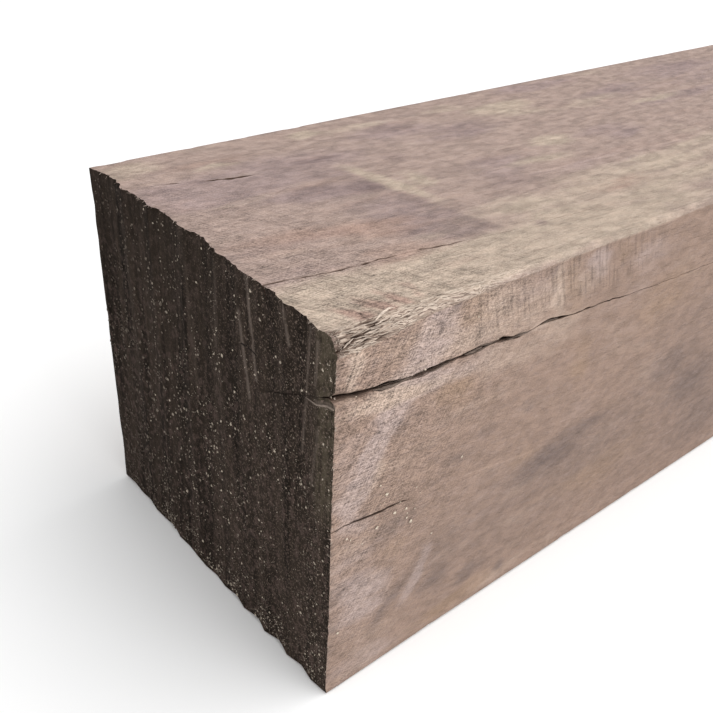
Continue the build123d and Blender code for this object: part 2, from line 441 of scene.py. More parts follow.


# Stains of each kind, given one by one: x, a, half length along the grain, half width, strength and,
# where a stain doesn't lie along the grain, its tilt in degrees
# The soot kind also holds painted shade: its broad faint stains on the near face.
LILAC, CREAM, RUST, SOOT_AND_SHADE = range(4)
TOP_STAINS = {
    LILAC: (
        (34, 74, 40, 12, 0.9), (20, 66, 16, 4, 0.6), (40, 56, 14, 5, 0.9, -6), (46, 36, 12, 12, 0.7, -9),
        (86, 84, 16, 7, 0.8), (104, 72, 16, 6, 0.7), (92, 46, 16, 6, 0.8), (114, 36, 16, 4, 0.3),
        (126, 29, 14, 3, 0.9), (145, 52, 14, 6, 0.6), (183, 77, 16, 6, 0.9), (162, 95, 24, 4, 0.9),
        (235, 82, 34, 12, 0.8), (205, 62, 30, 5, 0.8), (150, 46, 12, 3, 0.6),
    ),
    CREAM: (
        (30, 10, 70, 9, 1, -5), (8, 9, 12, 9, 0.6), (66, 50, 5, 6, 0.8), (75, 25, 8, 4, 0.5),
        (115, 91, 10, 4, 0.7), (100, 14, 60, 14, 0.7), (40, 3, 46, 2.5, 0.4), (78, 18, 6, 2, 0.5),
        (22, 62, 10, 3, 0.5), (60, 93, 6, 3, 0.9), (78, 92, 12, 3, 0.6), (6, 93, 9, 5, 0.9),
        (27, 85, 7, 2, 0.9), (133, 82, 14, 7, 0.9), (121, 53, 9, 4, 0.8), (106, 44, 14, 3, 0.6),
        (190, 64, 16, 2.5, 0.7), (150, 26, 60, 6, 0.6), (160, 72, 24, 4, 0.5),
    ),
    RUST: (
        (18, 38, 22, 6, 0.6, -5), (33, 21, 11, 5, 0.6, -6), (40, 32, 12, 5, 0.7, -6),
        (26, 88.5, 16, 2.5, 0.4), (106, 20, 14, 4, 0.5), (7.5, 7, 1.9, 6, 1, 24),
        (13.2, 7, 1.9, 6, 1, 24), (18, 7.5, 1.7, 5, 0.9, 20), (23.5, 8, 1.6, 4, 0.6, 20),
    ),
    SOOT_AND_SHADE: (
        (38, 58, 9, 3, 0.35, -6), (50, 53, 5, 3, 0.4), (51, 75.5, 8, 1.6, 0.6), (53, 21, 7, 3, 0.4, -4),
        (48, 27, 9, 5, 0.4, -9), (9, 26, 6, 2, 0.3), (16, 37, 16, 2.5, 0.25, -4), (14, 78, 9, 2, 0.3),
        (86, 86, 6, 3, 0.4), (105, 74, 8, 3, 0.4), (70, 66, 4, 3, 0.3), (182, 77, 12, 3, 0.4),
        (245, 86, 14, 4, 0.4), (205, 62, 14, 2, 0.4), (86, 37, 9, 4, 0.5), (70, 15, 2, 1.5, 0.6),
    ),
}
NEAR_STAINS = {
    LILAC: (
        (24, 8, 6, 12, 0.9, 29), (24, 18, 7, 3, 0.8, 2), (26, 5, 6, 5, 0.4), (4, 32, 4, 10, 0.4),
        (15, 22, 5, 8, 0.9, 27), (34, 19, 10, 3, 0.7, 2), (11, 31, 3.2, 9, 1, 25),
        (6, 41, 3.5, 9, 0.9, 20), (9, 49, 5, 3, 0.6), (5, 61, 8, 9, 0.4), (12, 72, 7, 8, 0.8, 20),
        (6, 78, 9, 13, 0.4), (10, 95, 10, 5, 0.6), (27, 76, 2.5, 10, 0.9, 24), (55, 7, 7, 6, 0.35, -14),
        (77, 4, 4, 6, 0.9, -14), (99, 9, 7, 12, 0.4, -14),
    ),
    CREAM: (
        (3.5, 8, 2, 7, 0.8, 8), (14, 18.6, 15, 2, 0.8, 4), (56, 21, 24, 5, 0.5, 4),
        (62, 14, 22, 4, 0.35, 4), (40, 4, 10, 4, 0.4), (50, 7, 30, 8, 0.45), (63, 9, 1.8, 7, 0.8, -10),
        (13, 33, 1.5, 9, 0.4, 25), (60, 96, 44, 3, 0.3),
    ),
    RUST: (
        (36, 6, 6, 6, 0.5), (68, 10, 3, 14, 0.35, -14), (78, 34, 4, 9, 0.6, -14), (86, 5, 3, 6, 0.4, -14),
        (33, 24, 7, 4, 0.8), (110, 24, 14, 9, 0.6), (62, 57, 8, 3, 0.5), (46, 95, 14, 3, 0.8),
        (95, 78, 24, 10, 0.4), (20, 64, 5, 8, 0.4, 20),
    ),
    SOOT_AND_SHADE: (
        (8.4, 8.5, 0.8, 4, 0.4, -10), (40, 12, 4, 3, 0.2), (31.1, 2.6, 0.7, 1.2, 0.9),
        (26.3, 5.4, 0.7, 1.2, 0.9), (61, 5, 0.8, 4, 0.5, -8), (19, 27, 2.5, 3, 0.3, 20),
        (37, 45, 5, 2, 0.5), (46, 41, 4, 2, 0.4), (60, 39, 3, 2, 0.4), (72, 62, 13, 4.5, 0.7),
        # The broad faint stains from x 60 to 160 are painted shade: the face darker away from the docked end,
        # as the light falls off.
        (88, 57, 10, 3, 0.6), (125, 52, 12, 5, 0.5), (142, 64, 14, 9, 0.7), (118, 74, 34, 24, 0.22),
        (138, 40, 24, 12, 0.25), (158, 83, 18, 12, 0.6), (62, 74, 30, 16, 0.25), (92, 66, 24, 10, 0.2),
        (34, 72, 8, 9, 0.25), (34, 83, 5, 4, 0.6), (49, 88, 5, 2.5, 0.6), (60, 93, 3, 1.5, 0.8),
        (19, 55, 8, 3, 0.5, -10), (18, 81, 2.5, 8, 0.7, 35), (6, 67, 7, 1.5, 0.5, -15),
    ),
}


def stick_edge(x, a):
    """How dark and how pale the top is by the line where a stacking stick lay across it."""
    past = x - 61 + 0.2 * (a - 20) + 2 * (rough(x / 5, a / 3, seed=87) - 0.5)
    zone = smooth(a, 14, 22) * smooth(a, 74, 60)
    dark = smooth(past, 1.5, -1) * np.exp(np.minimum(past, 0) / 8)
    pale = np.exp(-(((past - 3.2) / 2.4) ** 2)) * smooth(a, 34, 44)
    return zone * dark, zone * pale


def stain_colour(x, a, stains):
    """Strength of each stain at places on a face."""
    warp_x = 5 * (rough(x / 9, a / 5, seed=81) - 0.5)
    warp_a = 4 * (rough(x / 9, a / 5, seed=84) - 0.5)
    total = np.zeros((len(x), 4))
    for kind, spots in stains.items():
        for sx, sa, half_length, half_width, strength, *tilt in spots:
            turn = math.radians(sum(tilt))
            c, s = math.cos(turn), math.sin(turn)
            dx, da = x + warp_x - sx, a + warp_a - sa
            along, over = (c * dx + s * da) / half_length, (c * da - s * dx) / half_width
            total[:, kind] += strength * np.exp(-((along**2 + over**2) ** 1.5))
    return np.clip(total, 0, 1)


def build_post(materials):
    """The whole post as one closed mesh, in the place of the plain CAD solid."""
    x, y, z, hollow_shade, torn, columns = rings()
    rows, count = y.shape
    points = np.stack([x, y, z], 2).reshape(-1, 3).tolist()
    faces = ring_faces(rows, count)
    slots = list(columns) * (rows - 1)
    first = range(count)
    last = range((rows - 1) * count, rows * count)
    add_cap(points, faces, slots, first, y[0], z[0], CAP_SPACING, DOCKED, docked_depth, -1)
    add_cap(points, faces, slots, last, y[-1], z[-1], FAR_CAP_SPACING, FAR_END, lambda *_: LENGTH, 1)
    piece = write_mesh("post_timber", points, faces, materials, 40, slots)
    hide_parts("post")

    places = np.array(points)
    skin = rows * count
    spare = np.zeros(len(places) - skin)
    stains = np.zeros((len(places), 4))
    for slot, a, kinds in (
        (TOP, places[:skin, 1] + HALF, TOP_STAINS),
        (NEAR, HEIGHT - places[:skin, 2], NEAR_STAINS),
    ):
        chosen = np.tile(columns == slot, rows)
        stains[:skin][chosen] = stain_colour(places[:skin, 0][chosen], a[chosen], kinds)
        if slot == TOP:
            dark, pale = stick_edge(places[:skin, 0][chosen], a[chosen])
            stains[:skin, SOOT_AND_SHADE][chosen] += 0.5 * dark
            stains[:skin, CREAM][chosen] += pale
    put_attribute(piece.data, "stain", stains)
    # painted shade down the splits and in the worn arris's grooves and pits
    put_attribute(piece.data, "hollow_shade", np.concatenate([hollow_shade.ravel(), spare]))
    put_attribute(piece.data, "torn", np.concatenate([torn.ravel(), spare]))


# Splinters and sawdust

class Batch:
    """Many small shapes gathered into one mesh, each with its own shade from dark (0) to pale (1)."""

    def __init__(self):
        self.points, self.faces, self.shades = [], [], []

    def add(self, points, faces, shade):
        first = len(self.points)
        self.points += [tuple(p) for p in points]
        self.faces += [tuple(first + i for i in face) for face in faces]
        self.shades += [shade] * len(points)

    def write(self, name, material):
        piece = write_mesh(name, self.points, self.faces, [material], 50)
        put_attribute(piece.data, "shade", self.shades)


def tube(path, radii, sides):
    """A thin closed strand along a path."""
    path, radii = np.asarray(path, float), np.asarray(radii, float)
    along = np.gradient(path, axis=0)
    along /= np.linalg.norm(along, axis=1)[:, None]
    over = np.cross(along, (0.2, 0.3, 1))
    over /= np.linalg.norm(over, axis=1)[:, None]
    up = np.cross(along, over)
    turn = np.arange(sides) * 2 * np.pi / sides
    spokes = over[:, None] * np.cos(turn)[None, :, None] + up[:, None] * np.sin(turn)[None, :, None]
    points = (path[:, None] + spokes * radii[:, None, None]).reshape(-1, 3)
    faces = [(a, d, c, b) for a, b, c, d in ring_faces(len(path), sides)]
    ends = range(sides)[::-1], range(len(points) - sides, len(points))
    return points, faces + [tuple(end) for end in ends]


def arris_strand(rng, start, end, turn_start, turn_end, radius):
    """A strand torn loose from the worn arris, lying along it."""
    share = np.linspace(0, 1, 8)
    s = start + (end - start) * share
    turn = (turn_start + (turn_end - turn_start) * share) * QUARTER + rng.normal(0, 0.012, 8)
    bow = rng.uniform(-0.15, 0.2) * np.sin(np.pi * share)
    y, z = worn_place(s, turn, bow)
    radii = radius * (0.2 + 0.8 * np.sin(np.pi * (0.08 + 0.87 * share))) * rng.uniform(0.85, 1.1, 8)
    return tube(np.stack([s, y, z], 1), radii, 6)


def check_sliver(rng, start, end, side, sink, radius):
    """A sliver that lies along the long split. side runs from -1 at its upper edge to 1."""
    share = np.linspace(0, 1, 8)
    s = start + (end - start) * share
    middle, width = MAIN_CHECK.along(s)
    a = middle + side * width / 2 + rng.normal(0, 0.06, 8)
    deep = sink + 0.15 * share * rng.uniform(-1, 1)
    radii = radius * (0.15 + 0.85 * np.sin(np.pi * (0.06 + 0.88 * share)))
    return tube(np.stack([s, deep - HALF, HEIGHT - a], 1), radii, 5)


CURL = (  # a strand that stands up from the worn arris
    (9.6, -47.9, 99.6), (10.8, -47.7, 100.2), (12.2, -47.4, 100.6), (13.8, -47, 100.7),
    (15.6, -46.6, 100.2),
)
CURL_RADII = (0.1, 0.22, 0.28, 0.2, 0.05)
LIP = ((-49.5, 84.6), (-47.6, 84.3), (-44.6, 82.9), (-42.7, 82.3), (-40, 81.8))  # y, z of its places
LIP_RADII = (0.24, 0.26, 0.2, 0.14, 0.04)
PLACED_SLIVERS = ((27, 34, -0.9), (34.5, 39.5, 0.2), (39, 44, -0.3), (9, 17, 0.5))  # start, end, side


def torn_strands(rng, batch):
    """Strands torn up along the worn arris, and one that curls up."""
    for index in range(STRAND_COUNT):
        row = (index % STRAND_ROWS + rng.uniform(0.1, 0.9)) / STRAND_ROWS
        start = 0.5 + 22 * rng.random() ** 1.2
        end = start + rng.uniform(1.2, 4)
        narrow = 0.45 + (row - 0.45) * max(0.3, 1 - start / 34)
        strand = arris_strand(rng, start, end, narrow, narrow + rng.normal(0, 0.1), rng.uniform(0.08, 0.2))
        batch.add(*strand, rng.uniform(0.45, 0.85))
    batch.add(*tube(CURL, CURL_RADII, 6), 1)


def split_slivers(rng, batch):
    """A lip under the mouth of the long split, and slivers that lie in it."""
    lip = [(docked_depth(y, z) - 0.05, y, z) for y, z in LIP]
    batch.add(*tube(lip, LIP_RADII, 6), 0.3)
    # The slivers are kept dark: partly their own brown, partly painted shade of the split they lie in.
    for _ in range(SLIVER_COUNT):
        start = rng.uniform(6, 68)
        side = rng.uniform(-1.1, 1.1)
        length, sink, radius = rng.uniform(2, 6), rng.uniform(0.1, 0.6), rng.uniform(0.06, 0.15)
        sliver = check_sliver(rng, start, start + length, side, sink, radius)
        batch.add(*sliver, rng.uniform(0, 0.15))
    for place in PLACED_SLIVERS:
        batch.add(*check_sliver(rng, *place, sink=0.45, radius=0.25), 0.12)


def top_rim(rng):
    """Root and lean of a fibre at the docked end's top rim."""
    y = rng.uniform(-45, 49)
    root = np.array((docked_depth(y, HEIGHT - 0.2) + 0.3, y, HEIGHT - rng.uniform(0.1, 0.5)))
    return root, rng.uniform(0.3, 0.9) * np.array((-1, rng.uniform(-0.9, 0.9), rng.uniform(-0.8, 0.1)))


def near_rim(rng):
    """Root and lean of a fibre where the docked end meets the near face."""
    z = rng.uniform(4, 94)
    root = np.array((docked_depth(-HALF + 0.3, z) + 0.2, -HALF + rng.uniform(0, 0.5), z))
    return root, rng.uniform(0.4, 1.3) * np.array((rng.uniform(-0.7, 0.1), -0.25, rng.uniform(-0.9, 0.9)))


def worn_rim(rng):
    """Root and lean of a fibre at the worn corner."""
    s = rng.uniform(0, 1.6)
    y, z = worn_place(s, rng.uniform(0.05, 0.95) * QUARTER)
    root = np.array((s + docked_depth(y, z), y, z))
    length = rng.uniform(0.4, 1.2)
    return root, length * np.array((rng.uniform(-0.7, 0.5), rng.uniform(-0.6, 0.4), rng.uniform(-0.4, 0.6)))


def add_whiskers(rng, batch, count, rim, radius, shades):
    """Fine fibres that stand out from one rim."""
    for _ in range(count):
        root, lean = rim(rng)
        tip = root + lean
        fibre = tube((root, (root + tip) / 2, tip), (radius, radius * 0.8, 0.03), 4)
        batch.add(*fibre, rng.uniform(*shades))


def build_splinters(material):
    """Torn strands, slivers in the long split and fibres at the docked end's rims."""
    rng = np.random.default_rng(RANDOM_SEED)
    batch = Batch()
    torn_strands(rng, batch)
    split_slivers(rng, batch)
    add_whiskers(rng, batch, TOP_WHISKERS, top_rim, 0.12, (0, 0.5))
    add_whiskers(rng, batch, NEAR_WHISKERS, near_rim, 0.1, (0.2, 0.8))
    add_whiskers(rng, batch, CORNER_WHISKERS, worn_rim, 0.1, (0, 0.7))
    batch.write("post_splinters", material)


# Two axes in a surface, anticlockwise about the way it faces, and that way
END_FACING = ((0, 0, 1), (0, 1, 0), (-1, 0, 0))
NEAR_FACING = ((1, 0, 0), (0, 0, 1), (0, -1, 0))


def fleck(rng, middle, facing, size):
    """A chip of sawdust: an uneven flake that lies on a surface."""
    corners = 5
    turn = (np.arange(corners) + rng.uniform(-0.4, 0.4, corners)) * 2 * np.pi / corners
    stretch = rng.uniform(0.5, 1)
    reach = size * rng.uniform(0.6, 1.2, corners)
    spin = rng.uniform(0, np.pi)
    u, v = np.cos(turn) * reach, np.sin(turn) * reach * stretch
    u, v = u * np.cos(spin) - v * np.sin(spin), u * np.sin(spin) + v * np.cos(spin)
    first, second, out = np.array(facing, float)
    ring = middle + u[:, None] * first + v[:, None] * second
    points = np.concatenate([ring, [middle + out * size * 0.5], [middle - out * size * 0.3]])
    faces = [(i, (i + 1) % corners, corners) for i in range(corners)]
    faces += [((i + 1) % corners, i, corners + 1) for i in range(corners)]
    return points, faces


END_CHIPS = (  # larger chips on the docked end: y, z, half size
    (40, 52, 0.9), (18, 47, 0.9), (26, 44, 0.7), (23, 25, 0.8), (24, 4, 1), (4, 8, 0.9), (-9, 75, 0.8),
    (24, 98, 0.7), (20, 96, 0.7), (-18, 63, 0.6), (-22, 62, 0.6), (-24, 95, 0.5), (30, 33, 0.7),
    (12, 20, 0.8),
)
NEAR_CHIPS = (  # chips on the near face: x, a, half size
    (15, 44, 0.6), (23.5, 56.5, 0.7), (18, 51, 0.5), (13, 52.5, 0.6), (21.5, 51.5, 0.5), (31, 64.5, 0.4),
    (38, 44.5, 0.5), (3.5, 80, 0.5), (4.5, 51, 0.4), (5.5, 52, 0.4), (13, 40.5, 0.4), (22, 54.5, 0.4),
    (22.5, 14.7, 0.4), (36.5, 7, 0.45), (4.5, 14, 0.25), (43.9, 14.9, 0.3), (9, 55, 0.3),
)


def build_sawdust(material):
    """Sawdust in clusters over the docked end, and a few chips on the near face."""
    rng = np.random.default_rng(RANDOM_SEED + 1)
    batch = Batch()
    ys = rng.uniform(-HALF + 0.6, HALF - 0.8, DUST_TRIES)
    zs = HEIGHT * (0.01 + 0.97 * rng.random(DUST_TRIES) ** 1.6)
    kept = rough(ys / 4, zs / 7, seed=91) + 0.5 * (rng.random(DUST_TRIES) - 0.5) > 0.55
    for y, z in zip(ys[kept], zs[kept]):
        back = float(smooth(y, -10, 40))
        size = 0.13 + 0.36 * rng.random() ** 4 + 0.2 * back
        shade = rng.random() ** 1.3 * (1 - 0.85 * back)
        middle = np.array((docked_depth(y, z) - 0.2 * size, y, z))
        batch.add(*fleck(rng, middle, END_FACING, size), shade)
    for y, z, size in END_CHIPS:
        middle = np.array((docked_depth(y, z) - 0.1 * size, y, z))
        batch.add(*fleck(rng, middle, END_FACING, size * 0.6), 0.8)
    for x, a, size in NEAR_CHIPS:
        middle = np.array((x, -HALF - 0.05, HEIGHT - a))
        batch.add(*fleck(rng, middle, NEAR_FACING, size), 1)
    for _ in range(FACE_DUST):
        x, a = rng.normal(18, 5), rng.normal(51, 5)
        middle = np.array((max(x, 2), -HALF, HEIGHT - a))
        size = 0.1 + 0.2 * rng.random() ** 3
        batch.add(*fleck(rng, middle, NEAR_FACING, size), rng.uniform(0.7, 1))
    batch.write("post_sawdust", material)


# Materials

def rgb(red, green, blue):
    """A colour as given on screen, as the linear colour that a shader takes."""
    parts = [c / 255 for c in (red, green, blue)]
    return tuple(c / 12.92 if c <= 0.04045 else ((c + 0.055) / 1.055) ** 2.4 for c in parts) + (1,)


class Shader:
    """One material's node tree, written in short calls."""

    def __init__(self, name):
        self.material = bpy.data.materials.new(name)
        self.material.use_nodes = True
        self.tree = self.material.node_tree
        self.tree.nodes.clear()

    def node(self, kind, inputs=(), **settings):
        """A new node's outputs. Each input is a value or another node's output."""
        made = self.tree.nodes.new("ShaderNode" + kind)
        for key, value in settings.items():
            setattr(made, key, value)
        for key, value in dict(inputs).items():
            if isinstance(value, bpy.types.NodeSocket):
                self.tree.links.new(value, made.inputs[key])
            else:
                made.inputs[key].default_value = value
        return made.outputs

    def math(self, operation, a, b=0, c=0, clamp=False):
        return self.node("Math", {0: a, 1: b, 2: c}, operation=operation, use_clamp=clamp)[0]

    add = partialmethod(math, "ADD")
    minus = partialmethod(math, "SUBTRACT")
    times = partialmethod(math, "MULTIPLY")
    times_add = partialmethod(math, "MULTIPLY_ADD")

    def vector(self, operation, a, b=(0, 0, 0), c=(0, 0, 0)):
        outputs = self.node("VectorMath", {0: a, 1: b, 2: c}, operation=operation)
        return outputs["Value" if operation in ("LENGTH", "DOT_PRODUCT") else "Vector"]

    def join(self, *parts):
        return self.node("CombineXYZ", dict(enumerate(parts)))[0]

    def mix(self, factor, a, b, blend="MIX"):
        return self.node("Mix", {0: factor, 6: a, 7: b}, data_type="RGBA", blend_type=blend)[2]

    def span(self, value, low, high, out_low=0, out_high=1):
        inputs = {0: value, 1: low, 2: high, 3: out_low, 4: out_high}
        return self.node("MapRange", inputs, interpolation_type="SMOOTHSTEP")[0]

    def swing(self, value, strength, spread=0.14):
        """From -strength to strength, as noise passes from below its middle to above it."""
        return self.span(value, 0.5 - spread, 0.5 + spread, -strength, strength)

    def noise(self, place, size, detail=2, roughness=0.5, offset=0):
        """Noise with features of that size in millimetres, along x and y, and along z as y if not given."""
        scale = tuple(1 / s for s in (*size, size[-1])[:3])
        scaled = {"Vector": place, "Scale": scale, "Location": (offset,) * 3}
        moved = self.node("Mapping", scaled)[0]
        inputs = {"Vector": moved, "Scale": 1, "Detail": detail, "Roughness": roughness}
        return self.node("TexNoise", inputs)[0]

    def stroke(self, place, start, end, half_width):
        """1 along a straight mark between two places, falling to 0 at its half width."""
        run = (end[0] - start[0], end[1] - start[1], 0)
        off = self.vector("SUBTRACT", place, (*start, 0))
        per_run = 1 / (run[0] ** 2 + run[1] ** 2)
        share = self.math("MULTIPLY", self.vector("DOT_PRODUCT", off, run), per_run, clamp=True)
        away = self.vector("MULTIPLY_ADD", share, tuple(-r for r in run), off)
        return self.span(self.vector("LENGTH", away), half_width, 0)

    def attribute(self, name):
        return self.node("Attribute", attribute_name=name)

    def millimetres(self):
        """Place on the post in its own frame."""
        local = self.node("TexCoord")["Object"]
        scaled = {"Vector": local, "Scale": (1 / MM,) * 3, "Location": (-END_X, 0, 0)}
        return self.node("Mapping", scaled)[0]

    def grey(self, value):
        return self.node("CombineColor", {0: value, 1: value, 2: value})[0]

    def surface(self, colour, roughness, height, relief, specular=0.2):
        """Ends the tree in a matt surface with a bump map of that relief, in millimetres."""
        bump = self.node("Bump", {"Distance": relief * MM, "Height": height})[0]
        return self.matt(colour, roughness, specular, Normal=bump)

    def matt(self, colour, roughness, specular, **more):
        """Ends the tree in a plain matt surface."""
        inputs = {"Base Color": colour, "Roughness": roughness, "Specular IOR Level": specular}
        shader = self.node("BsdfPrincipled", {**inputs, **more})[0]
        self.node("OutputMaterial", {"Surface": shader})
        return self.material


# Lines on the two faces: start and end as (x, a), half width, and how much lighter or darker
TOP_LINES = (
    ((7.5, 21), (9.5, 17), 0.7, -0.2), ((10.5, 14), (11.6, 10.8), 0.8, -0.22),
    ((11.6, 10.8), (14.7, 3.2), 0.8, -0.28), ((6.5, 11.5), (9.1, 5.6), 0.8, -0.25),
    ((9.1, 5.6), (8.8, 2.7), 0.6, -0.35), ((18.2, 9.2), (18, 5.6), 0.8, -0.24),
    ((18, 5.6), (19.7, 3), 0.8, -0.28), ((23, 9.5), (25, 5.7), 0.5, -0.2),
    ((3.6, 53), (17, 51), 0.5, 0.12), ((17, 51), (28, 49.5), 0.5, -0.22),
    ((29.5, 62), (34, 63.5), 0.5, -0.2), ((44, 76), (55, 73), 0.7, -0.14),
    ((47, 60.5), (50, 60.5), 0.6, -0.16), ((67, 59), (126, 53.6), 1, 0.12),
    ((93, 38), (168, 32), 1, 0.16),
)
NEAR_LINES = (
    ((4.9, 2), (3.9, 6), 0.6, -0.28), ((3.9, 6), (2, 12), 0.6, -0.3),
    ((26.3, 0.6), (33.2, 1.2), 0.35, -0.4), ((28.5, 47), (35, 49), 0.6, -0.2),
    ((37, 51), (64, 56), 0.5, 0.14), ((62, 35), (92, 35.5), 0.5, 0.07),
    ((104, 41), (116, 40.4), 0.6, 0.08), ((76, 20), (133, 19.5), 0.4, -0.1),
)


@dataclass
class Ribs:
    """Marks of the saw's teeth across a face, on a strip beside the shared arris."""

    spacing: float  # along the grain
    slope: float  # drift against the grain for each millimetre from the arris
    start: float
    end: float
    reach: float  # distance from the arris at which they have faded
    strength: float
    regular: bool


TOP_RIBS = Ribs(4.7, 0.44, 2, 50, 20, 0.18, True)
NEAR_RIBS = Ribs(1.1, -0.3, 24, 112, 16, 0.23, False)


@dataclass
class Palette:
    """Colours of a sawn face: bare, and under each kind of stain. The soot colour also paints shade."""

    base: tuple
    lilac: tuple
    cream: tuple
    rust: tuple
    soot_and_shade: tuple


def stained_colour(sh, palette, grain):
    """The face's colour under its placed stains and its chance blotches."""
    stain = sh.attribute("stain")
    marks = sh.node("SeparateColor", {0: stain["Color"]})
    colour = palette.base
    for channel, (tint, size, offset) in enumerate((
        (palette.lilac, (24, 7), 0), (palette.cream, (26, 7), 40), (palette.rust, (28, 6), 80),
    )):
        blotch = sh.minus(sh.noise(grain, size, 2.5, 0.5, offset), 0.5)
        share = sh.span(sh.times_add(blotch, 1.5, marks[channel]), 0.05, 0.95)
        colour = sh.mix(share, colour, tint)
    # Soot stains, and painted shade under the near face's broad faint ones
    colour = sh.mix(sh.times(stain["Alpha"], 0.9), colour, palette.soot_and_shade)
    tint = sh.noise(grain, (2.5, 1), 1, 0.5, 90)
    colour = sh.mix(sh.span(tint, 0.45, 0.62, 0, 0.15), colour, palette.rust)
    return sh.mix(sh.span(tint, 0.45, 0.32, 0, 0.15), colour, palette.lilac)


def rib_marks(sh, ribs, x, a, mottle):
    """1 on each tooth mark, falling to 0 between them."""
    place = sh.times_add(a, ribs.slope, x)
    if ribs.regular:
        place = sh.times_add(mottle, 0.35 * ribs.spacing, place)
        saw = sh.math("FRACT", sh.math("DIVIDE", place, ribs.spacing))
        mark = sh.span(saw, 0.5, 0)
    else:
        leaning = sh.join(place, a)
        mark = sh.span(sh.noise(leaning, (ribs.spacing, 10, 1), 1, 0.5, 130), 0.48, 0.62)
    zone = sh.times(sh.span(x, ribs.start, ribs.start + 16), sh.span(x, ribs.end, ribs.end - 30))
    zone = sh.times(zone, sh.span(a, ribs.reach, ribs.reach - 5))
    return sh.times(mark, zone)


def marked_light(sh, light, x, a, mottle, lines, ribs):
    """A face's lightness with its tooth marks and drawn lines added."""
    light = sh.times_add(rib_marks(sh, ribs, x, a, mottle), -ribs.strength, light)
    wander = sh.times_add(mottle, 1.2, sh.minus(a, 0.6))
    line_place = sh.join(x, wander)
    for *line, strength in lines:
        light = sh.times_add(sh.stroke(line_place, *line), strength, light)
    return light


def fine_light(sh, x, y, z, grain, wool, fibre, split, contrast):
    """Lightness of wool, fibres and slanted scratches, and painted shade in fine splits, which fade away from
    the worn corner.
    """
    off = sh.times_add(sh.minus(y, z), 0.5, x)
    slanted = sh.join(off, y, z)
    scratch = sh.noise(slanted, (0.5, 7), offset=110)
    patch = sh.span(sh.noise(grain, (24, 14), offset=70), 0.4, 0.65)
    light = sh.swing(wool, 0.2, 0.12)
    light = sh.add(light, sh.swing(fibre, 0.16))
    light = sh.add(light, sh.swing(scratch, 0.1))
    # painted shade in the fine splits
    light = sh.minus(light, sh.times(sh.span(split, 0.6, 0.7, 0, 0.15), patch))
    inward = sh.times_add(sh.add(y, HALF), 0.4, sh.times(x, 0.8))
    inward = sh.times_add(sh.minus(HEIGHT, z), 0.4, inward)
    return sh.times(light, sh.span(inward, 6, 70, contrast, 0.25))


def torn_colour(sh, x, wavy, wool):
    """Fresh strands of the worn arris, with painted shade in the cracks between them and a frayed rim."""
    strand = sh.noise(wavy, (5, 0.35), 2, 0.6, 25)
    crack = sh.noise(wavy, (3, 0.26), 1, 0.5, 45)
    fresh = sh.mix(sh.span(strand, 0.4, 0.56), rgb(160, 142, 128), rgb(210, 194, 178))
    # painted shade in the cracks between the strands
    fresh = sh.mix(sh.span(crack, 0.56, 0.61, 0, 0.95), fresh, rgb(72, 57, 48))
    frayed = sh.times(sh.span(x, 1.3, 0.2), sh.span(wool, 0.4, 0.6, 0.4, 1))
    return sh.mix(frayed, fresh, rgb(104, 85, 80))


def sawn_material(name, palette, contrast, streaky, across=None, lines=(), ribs=None):
    """A sawn long face: weathered colour in blotches, woolly fibres, saw marks and drawn lines.

    contrast is the strength of the fine fibres by the worn corner, and streaky that of the long streaks.
    across gives the distance from the shared arris, from the sockets y and z, on a face with marks.
    """
    sh = Shader(name)
    place = sh.millimetres()
    x, y, z = sh.node("SeparateXYZ", {0: place})
    sway = sh.math("SINE", sh.math("DIVIDE", x, 110))
    shift = sh.join(0, sh.times(sway, 12), sh.times(sway, 6))
    grain = sh.vector("ADD", place, shift)
    bend = sh.node("TexNoise", {"Vector": place, "Scale": 0.25, "Detail": 1})["Color"]
    wavy = sh.vector("MULTIPLY_ADD", bend, (0, 1.8, 1.8), grain)
    wool = sh.noise(wavy, (0.45, 0.26), 2, 0.6)
    fibre = sh.noise(wavy, (3, 0.38), 2, 0.6, 15)
    mottle = sh.noise(grain, (4, 2.2), offset=30)
    streak = sh.noise(grain, (7, 3.2), 3, 0.55, 60)
    drift = sh.noise(grain, (260, 40), offset=160)
    split = sh.noise(grain, (9, 0.42), offset=50)

    light = fine_light(sh, x, y, z, grain, wool, fibre, split, contrast)
    light = sh.add(light, sh.swing(mottle, 0.07))
    light = sh.add(light, sh.swing(streak, streaky))
    light = sh.add(light, sh.times(sh.span(x, 280, 600), sh.swing(drift, 0.13, 0.15)))
    ragged = sh.times(sh.span(x, 6, 1, 0, 0.18), sh.span(wool, 0.5, 0.62))
    light = sh.minus(light, ragged)
    if across:
        light = marked_light(sh, light, x, across(sh, y, z), mottle, lines, ribs)

    colour = stained_colour(sh, palette, grain)
    colour = sh.mix(1, colour, sh.grey(sh.add(light, 1)), "MULTIPLY")
    torn = sh.attribute("torn")["Fac"]
    colour = sh.mix(sh.times(torn, 0.9), colour, torn_colour(sh, x, wavy, wool))
    # Painted shade down the splits and in the worn arris's grooves and pits: brown by the mouth, near black
    # deep down.
    hollow_shade = sh.attribute("hollow_shade")["Fac"]
    colour = sh.mix(sh.span(hollow_shade, 0.02, 0.3, 0, 0.75), colour, rgb(118, 100, 89))
    colour = sh.mix(sh.span(hollow_shade, 0.3, 1, 0, 0.9), colour, rgb(64, 47, 38))

    height = sh.times_add(wool, 0.6, sh.times(fibre, 0.6))
    height = sh.minus(height, sh.span(split, 0.6, 0.7, 0, 0.4))
    return sh.surface(colour, sh.span(wool, 0.3, 0.7, 0.95, 0.75), height, 0.25, specular=0.1)


